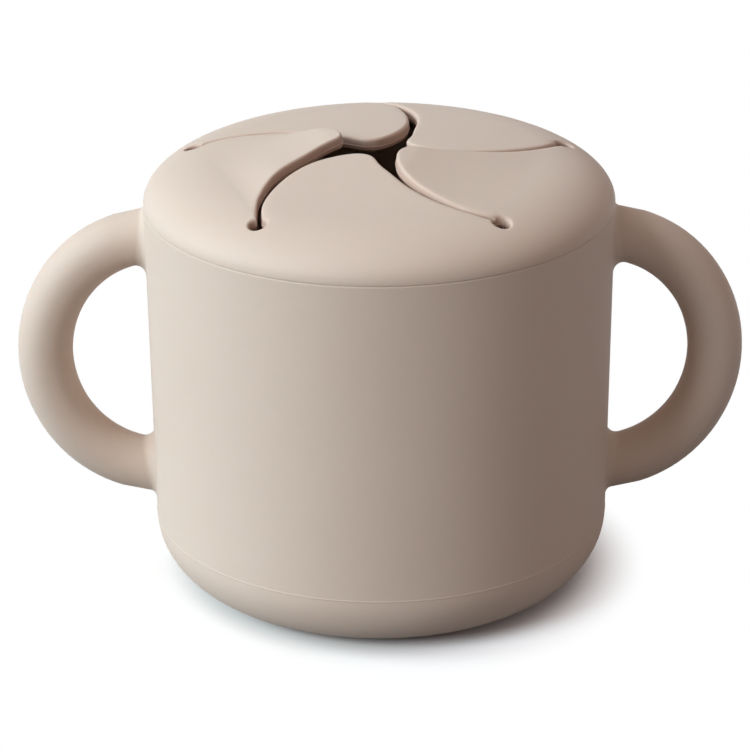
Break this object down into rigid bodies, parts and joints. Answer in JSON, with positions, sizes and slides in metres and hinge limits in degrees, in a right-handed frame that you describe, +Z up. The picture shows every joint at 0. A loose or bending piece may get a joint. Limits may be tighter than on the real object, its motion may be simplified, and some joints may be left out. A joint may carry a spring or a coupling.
{
  "type": "toddler snack container",
  "caption": "Round soft cup with a loop handle on each side and a domed lid cut by curved slits into hinged flaps that a small hand pushes through.",
  "frame": {"origin": "middle of the flat base, on the surface that the cup stands on", "axes": "+Z up, X along the two handles, -Y towards the front of the picture"},
  "size_m": [0.1378, 0.088, 0.0872],
  "materials": {
    "cup_silicone": "matte silicone, moulded",
    "lid_silicone": "matte silicone, moulded"
  },
  "bodies": {
    "cup": {"cup": "cup_silicone"},
    "lid": {"lid": "lid_silicone"},
    "flap_front": {"flap_front": "lid_silicone"},
    "flap_right": {"flap_right": "lid_silicone"},
    "flap_back_right": {"flap_back_right": "lid_silicone"},
    "flap_back_left": {"flap_back_left": "lid_silicone"},
    "flap_left": {"flap_left": "lid_silicone"}
  },
  "joints": [
    {"name": "lid_lift", "type": "slide", "parent": "cup", "child": "lid", "axis": [0, 0, 1], "range_m": [0, 0.04]},
    {"name": "flap_front_hinge", "type": "hinge", "parent": "lid", "child": "flap_front", "pos_m": [0, -0.02977, 0.08012], "axis": [1, 0, 0], "range_deg": [-73.2, 31.8], "stiffness_Nm_per_rad": 0.03},
    {"name": "flap_right_hinge", "type": "hinge", "parent": "lid", "child": "flap_right", "pos_m": [0.02831, -0.0092, 0.08012], "axis": [0.309, 0.9511, 0], "range_deg": [-74.6, 30.4], "stiffness_Nm_per_rad": 0.03},
    {"name": "flap_back_right_hinge", "type": "hinge", "parent": "lid", "child": "flap_back_right", "pos_m": [0.0175, 0.02409, 0.08012], "axis": [-0.809, 0.5878, 0], "range_deg": [-70.8, 34.2], "stiffness_Nm_per_rad": 0.03},
    {"name": "flap_back_left_hinge", "type": "hinge", "parent": "lid", "child": "flap_back_left", "pos_m": [-0.0175, 0.02409, 0.08012], "axis": [-0.809, -0.5878, 0], "range_deg": [-70.5, 34.5], "stiffness_Nm_per_rad": 0.03},
    {"name": "flap_left_hinge", "type": "hinge", "parent": "lid", "child": "flap_left", "pos_m": [-0.02831, -0.0092, 0.08012], "axis": [0.309, -0.9511, 0], "range_deg": [-77.2, 27.8], "stiffness_Nm_per_rad": 0.03}
  ]
}
